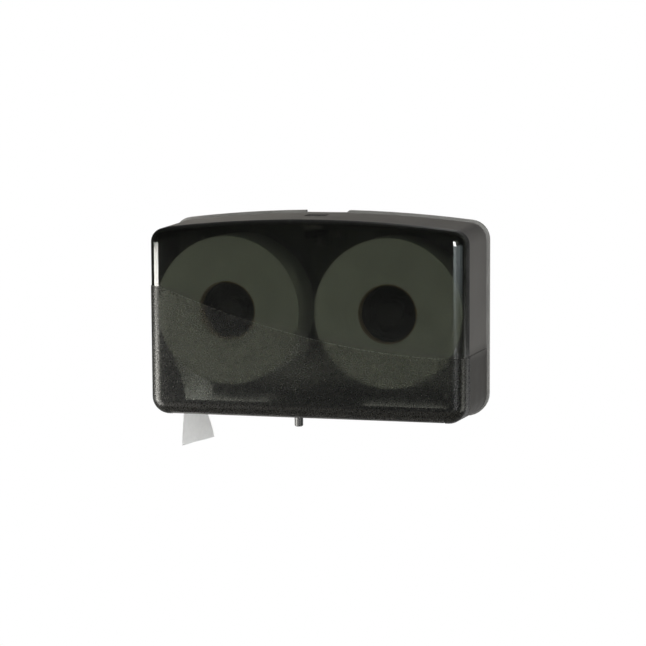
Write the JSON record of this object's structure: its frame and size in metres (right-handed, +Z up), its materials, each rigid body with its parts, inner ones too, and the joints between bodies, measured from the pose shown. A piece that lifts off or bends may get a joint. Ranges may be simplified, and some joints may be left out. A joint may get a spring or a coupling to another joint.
{
  "type": "jumbo toilet roll dispenser",
  "caption": "Wall-mounted twin jumbo toilet roll dispenser: smoked bottom-hinged cover, rolls side by side on hubs, outlet tray with sliding gate, and a key latch.",
  "frame": {"origin": "in the wall plane, midway between the two spindle axes, which is the middle of the four wall-screw holes", "axes": "+X to the right seen from the front, +Y into the wall, +Z up; the front faces -Y"},
  "size_m": [0.505, 0.158, 0.3563],
  "materials": {
    "smoked_plastic": "smoked translucent polycarbonate, glossy above the step line and fine-textured below it",
    "black_plastic": "black moulded plastic, satin",
    "grey_plastic": "dark grey moulded plastic, satin",
    "steel": "zinc-plated or stainless steel",
    "cardboard": "grey-brown spiral-wound cardboard",
    "tissue": "soft white two-ply tissue"
  },
  "bodies": {
    "root": {"backplate": "grey_plastic", "outlet_tray": "black_plastic", "tray_screws": "steel", "hinge_pin_left": "steel", "hinge_pin_right": "steel", "spindle_left": "black_plastic", "spindle_right": "black_plastic", "spindle_screws_left": "steel", "spindle_screws_right": "steel", "spindle_cap_left": "grey_plastic", "spindle_cap_right": "grey_plastic", "tissue_tail": "tissue", "tear_strip_left": "steel", "tear_strip_right": "steel", "tear_strip_rivets": "steel", "latch_bracket": "grey_plastic", "latch_bracket_screws": "steel", "latch_pin": "steel", "latch_spring": "steel"},
    "cover": {"front_cover": "smoked_plastic", "key_bezel": "black_plastic", "catch_plate": "steel", "catch_screws": "steel"},
    "roll_left": {"core_hub_left": "black_plastic", "core_left": "cardboard", "tissue_roll_left": "tissue"},
    "roll_right": {"core_hub_right": "black_plastic", "core_right": "cardboard", "tissue_roll_right": "tissue"},
    "gate": {"gate_panel": "black_plastic", "gate_knob": "black_plastic", "gate_screw": "steel"},
    "latch": {"latch_lever": "black_plastic"}
  },
  "joints": [
    {"name": "cover_hinge", "type": "hinge", "parent": "root", "child": "cover", "pos_m": [0, -0.045, -0.158], "axis": [1, 0, 0], "range_deg": [0, 95]},
    {"name": "roll_left_spin", "type": "hinge", "parent": "root", "child": "roll_left", "pos_m": [-0.125, -0.09, 0], "axis": [0, 1, 0], "continuous": true},
    {"name": "roll_right_spin", "type": "hinge", "parent": "root", "child": "roll_right", "pos_m": [0.125, -0.09, 0], "axis": [0, 1, 0], "continuous": true},
    {"name": "gate_slide", "type": "slide", "parent": "root", "child": "gate", "axis": [1, 0, 0], "range_m": [-0.1038, 0.1312]},
    {"name": "latch_pivot", "type": "hinge", "parent": "root", "child": "latch", "pos_m": [-0.007, -0.018, 0.112], "axis": [1, 0, 0], "range_deg": [-7, 4], "stiffness_Nm_per_rad": 0.25, "springref_deg": -1.15, "deforming": ["latch_spring"]}
  ]
}
